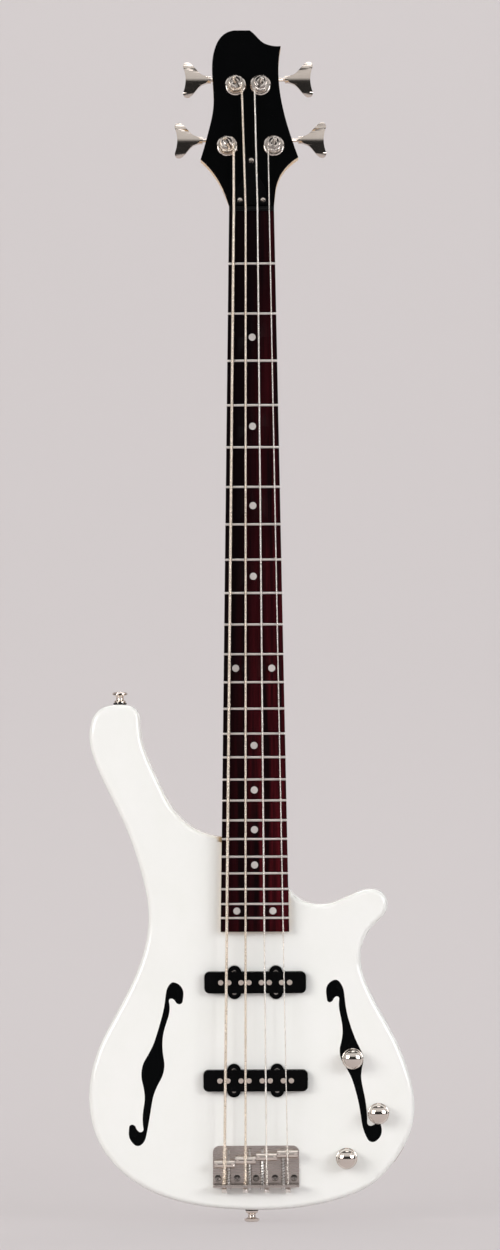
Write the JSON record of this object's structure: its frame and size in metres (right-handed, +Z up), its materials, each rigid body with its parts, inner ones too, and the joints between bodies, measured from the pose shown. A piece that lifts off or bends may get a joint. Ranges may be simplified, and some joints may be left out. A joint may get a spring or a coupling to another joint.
{
  "type": "electric bass guitar",
  "caption": "Solid-body electric bass guitar with a bolt-on neck, open-gear tuning machines, barrel-saddle bridge, covered pickups and dome control knobs.",
  "frame": {"origin": "tail of the body on the neck's centre line, in the middle of the body's thickness", "axes": "+Z runs up the neck to the headstock, -Y is out of the face towards the player's view of the strings, -X is the bass side"},
  "size_m": [0.2983, 0.0576, 1.0946],
  "materials": {
    "white_lacquer": "gloss lacquer over wood",
    "black_inlay": "gloss",
    "maple": "satin",
    "rosewood": "oiled",
    "fret_wire": "polished",
    "pearl": "pearl",
    "black_nut": "satin",
    "black_veneer": "gloss lacquer",
    "steel": "bright",
    "black_plastic": "satin",
    "chrome": "polished",
    "copper_wire": "enamelled",
    "foam": "foam",
    "brass": "satin",
    "lead_rubber": "satin",
    "felt": "felt",
    "string_wire": "round wound"
  },
  "bodies": {
    "instrument": {"body": "white_lacquer", "f_hole_inlays": "black_inlay", "neck": "maple", "fingerboard": "rosewood", "frets": "fret_wire", "position_markers": "pearl", "nut": "black_nut", "headstock_veneer": "black_veneer", "truss_rod": "steel", "truss_rod_cover": "black_plastic", "neck_plate": "chrome", "neck_screws": "chrome", "cover_screws": "chrome", "tuner_plates": "chrome", "tuner_bushings": "chrome", "bridge_plate": "chrome", "mounting_screws": "chrome", "pickup_bobbins": "black_plastic", "pickup_coils": "copper_wire", "pole_pieces": "steel", "pickup_foam_pads": "foam", "pickup_screws": "chrome", "pots": "steel", "pot_nuts": "chrome", "control_cover": "black_plastic", "output_jack": "brass", "jack_flange": "chrome", "wiring_leads": "lead_rubber", "strap_buttons": "chrome", "strap_washers": "felt", "intonation_springs": "steel", "neck_pickup_cover": "black_plastic", "bridge_pickup_cover": "black_plastic", "string_e": "string_wire", "string_a": "string_wire", "string_d": "string_wire", "string_g": "string_wire"},
    "tuner_key_e": {"tuner_key_e": "chrome"},
    "tuner_post_e": {"tuner_post_e": "chrome", "tuner_gear_e": "brass"},
    "tuner_key_a": {"tuner_key_a": "chrome"},
    "tuner_post_a": {"tuner_post_a": "chrome", "tuner_gear_a": "brass"},
    "tuner_key_d": {"tuner_key_d": "chrome"},
    "tuner_post_d": {"tuner_post_d": "chrome", "tuner_gear_d": "brass"},
    "tuner_key_g": {"tuner_key_g": "chrome"},
    "tuner_post_g": {"tuner_post_g": "chrome", "tuner_gear_g": "brass"},
    "intonation_screw_e": {"intonation_screw_e": "steel"},
    "saddle_e": {"saddle_e": "chrome"},
    "intonation_screw_a": {"intonation_screw_a": "steel"},
    "saddle_a": {"saddle_a": "chrome"},
    "intonation_screw_d": {"intonation_screw_d": "steel"},
    "saddle_d": {"saddle_d": "chrome"},
    "intonation_screw_g": {"intonation_screw_g": "steel"},
    "saddle_g": {"saddle_g": "chrome"},
    "volume_knob": {"volume_knob": "chrome"},
    "balance_knob": {"balance_knob": "chrome"},
    "tone_knob": {"tone_knob": "chrome"}
  },
  "joints": [
    {"name": "key_turn_e", "type": "hinge", "parent": "instrument", "child": "tuner_key_e", "pos_m": [-0.0221, 0.00451, 0.98214], "axis": [1, 0, 0], "continuous": true},
    {"name": "post_turn_e", "type": "hinge", "parent": "instrument", "child": "tuner_post_e", "pos_m": [-0.0221, -0.01514, 0.97591], "axis": [0, -0.9903, 0.1392], "continuous": true, "deforming": ["string_e"]},
    {"name": "key_turn_a", "type": "hinge", "parent": "instrument", "child": "tuner_key_a", "pos_m": [-0.0142, 0.01241, 1.03828], "axis": [1, 0, 0], "continuous": true},
    {"name": "post_turn_a", "type": "hinge", "parent": "instrument", "child": "tuner_post_a", "pos_m": [-0.0142, -0.00725, 1.03206], "axis": [0, -0.9903, 0.1392], "continuous": true, "deforming": ["string_a"]},
    {"name": "key_turn_d", "type": "hinge", "parent": "instrument", "child": "tuner_key_d", "pos_m": [0.0087, 0.01241, 1.03828], "axis": [1, 0, 0], "continuous": true},
    {"name": "post_turn_d", "type": "hinge", "parent": "instrument", "child": "tuner_post_d", "pos_m": [0.0087, -0.00725, 1.03206], "axis": [0, -0.9903, 0.1392], "continuous": true, "deforming": ["string_d"]},
    {"name": "key_turn_g", "type": "hinge", "parent": "instrument", "child": "tuner_key_g", "pos_m": [0.0207, 0.00451, 0.98214], "axis": [1, 0, 0], "continuous": true},
    {"name": "post_turn_g", "type": "hinge", "parent": "instrument", "child": "tuner_post_g", "pos_m": [0.0207, -0.01514, 0.97591], "axis": [0, -0.9903, 0.1392], "continuous": true, "deforming": ["string_g"]},
    {"name": "intonation_turn_e", "type": "hinge", "parent": "instrument", "child": "intonation_screw_e", "pos_m": [-0.025, -0.03006, 0.0217], "axis": [0, 0, 1], "range_deg": [-2057.19, 2057.19]},
    {"name": "saddle_slide_e", "type": "slide", "parent": "instrument", "child": "saddle_e", "axis": [0, 0, 1], "range_m": [-0.004, 0.004], "deforming": ["intonation_springs"]},
    {"name": "intonation_turn_a", "type": "hinge", "parent": "instrument", "child": "intonation_screw_a", "pos_m": [-0.0058, -0.03109, 0.0217], "axis": [0, 0, 1], "range_deg": [-2057.19, 2057.19]},
    {"name": "saddle_slide_a", "type": "slide", "parent": "instrument", "child": "saddle_a", "axis": [0, 0, 1], "range_m": [-0.004, 0.004], "deforming": ["intonation_springs"]},
    {"name": "intonation_turn_d", "type": "hinge", "parent": "instrument", "child": "intonation_screw_d", "pos_m": [0.0058, -0.03119, 0.0217], "axis": [0, 0, 1], "range_deg": [-2057.19, 2057.19]},
    {"name": "saddle_slide_d", "type": "slide", "parent": "instrument", "child": "saddle_d", "axis": [0, 0, 1], "range_m": [-0.004, 0.004], "deforming": ["intonation_springs"]},
    {"name": "intonation_turn_g", "type": "hinge", "parent": "instrument", "child": "intonation_screw_g", "pos_m": [0.025, -0.03038, 0.0217], "axis": [0, 0, 1], "range_deg": [-2057.19, 2057.19]},
    {"name": "saddle_slide_g", "type": "slide", "parent": "instrument", "child": "saddle_g", "axis": [0, 0, 1], "range_m": [-0.004, 0.004], "deforming": ["intonation_springs"]},
    {"name": "volume_knob_turn", "type": "hinge", "parent": "instrument", "child": "volume_knob", "pos_m": [0.089, -0.02, 0.1386], "axis": [0, -1, 0], "range_deg": [-140, 140]},
    {"name": "balance_knob_turn", "type": "hinge", "parent": "instrument", "child": "balance_knob", "pos_m": [0.1124, -0.02, 0.0882], "axis": [0, -1, 0], "range_deg": [-140, 140]},
    {"name": "tone_knob_turn", "type": "hinge", "parent": "instrument", "child": "tone_knob", "pos_m": [0.0831, -0.02, 0.0473], "axis": [0, -1, 0], "range_deg": [-140, 140]}
  ],
  "couplings": [
    {"joint": "post_turn_e", "follows": "key_turn_e", "ratio": 0.05},
    {"joint": "post_turn_a", "follows": "key_turn_a", "ratio": 0.05},
    {"joint": "post_turn_d", "follows": "key_turn_d", "ratio": 0.05},
    {"joint": "post_turn_g", "follows": "key_turn_g", "ratio": 0.05},
    {"joint": "intonation_turn_e", "follows": "saddle_slide_e", "rad_per_m": 8976},
    {"joint": "intonation_turn_a", "follows": "saddle_slide_a", "rad_per_m": 8976},
    {"joint": "intonation_turn_d", "follows": "saddle_slide_d", "rad_per_m": 8976},
    {"joint": "intonation_turn_g", "follows": "saddle_slide_g", "rad_per_m": 8976}
  ]
}
